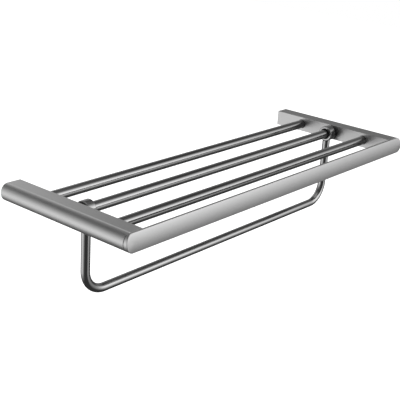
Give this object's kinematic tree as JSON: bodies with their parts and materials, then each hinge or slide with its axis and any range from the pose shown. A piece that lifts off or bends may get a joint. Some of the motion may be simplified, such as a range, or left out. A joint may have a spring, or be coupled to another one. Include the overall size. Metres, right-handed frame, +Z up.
{
  "type": "wall towel shelf with swinging towel rail",
  "caption": "Wall-mounted towel shelf: round rods between hollow side arms, a rounded front bar, and a U-shaped towel rail that swings on collars below.",
  "frame": {"origin": "middle of the shelf on the wall plane, at the height of the rods' axes", "axes": "+X along the rods, +Y into the wall, +Z up; the front bar faces -Y"},
  "size_m": [0.62, 0.2234, 0.133],
  "materials": {
    "arm_metal": "brushed gunmetal-nickel plating on cast arms and bar",
    "tube_metal": "satin gunmetal-nickel plating on drawn tube",
    "inner_zinc": "bare cast metal, dull grey",
    "bush_nylon": "black nylon, slightly soft sheen",
    "screw_steel": "dark plated screw steel"
  },
  "bodies": {
    "shelf": {"left_arm": "arm_metal", "right_arm": "arm_metal", "front_bar": "arm_metal", "rear_shelf_rod": "tube_metal", "middle_shelf_rod": "tube_metal", "front_shelf_rod": "tube_metal", "rear_rod_left_plug": "inner_zinc", "rear_rod_right_plug": "inner_zinc", "middle_rod_left_plug": "inner_zinc", "middle_rod_right_plug": "inner_zinc", "front_rod_left_plug": "inner_zinc", "front_rod_right_plug": "inner_zinc", "left_wall_bracket": "inner_zinc", "right_wall_bracket": "inner_zinc", "rear_rod_left_screw": "screw_steel", "rear_rod_right_screw": "screw_steel", "middle_rod_left_screw": "screw_steel", "middle_rod_right_screw": "screw_steel", "front_rod_left_screw": "screw_steel", "front_rod_right_screw": "screw_steel", "left_bracket_screw": "screw_steel", "right_bracket_screw": "screw_steel", "left_bar_screw": "screw_steel", "right_bar_screw": "screw_steel"},
    "swinging_rail": {"towel_rail": "tube_metal", "left_rail_collar": "tube_metal", "right_rail_collar": "tube_metal", "left_collar_bush": "bush_nylon", "right_collar_bush": "bush_nylon", "left_leg_plug": "inner_zinc", "right_leg_plug": "inner_zinc"}
  },
  "joints": [
    {"name": "towel_rail_swing", "type": "hinge", "parent": "shelf", "child": "swinging_rail", "pos_m": [0, -0.11, 0], "axis": [1, 0, 0], "range_deg": [-75, 63]}
  ]
}
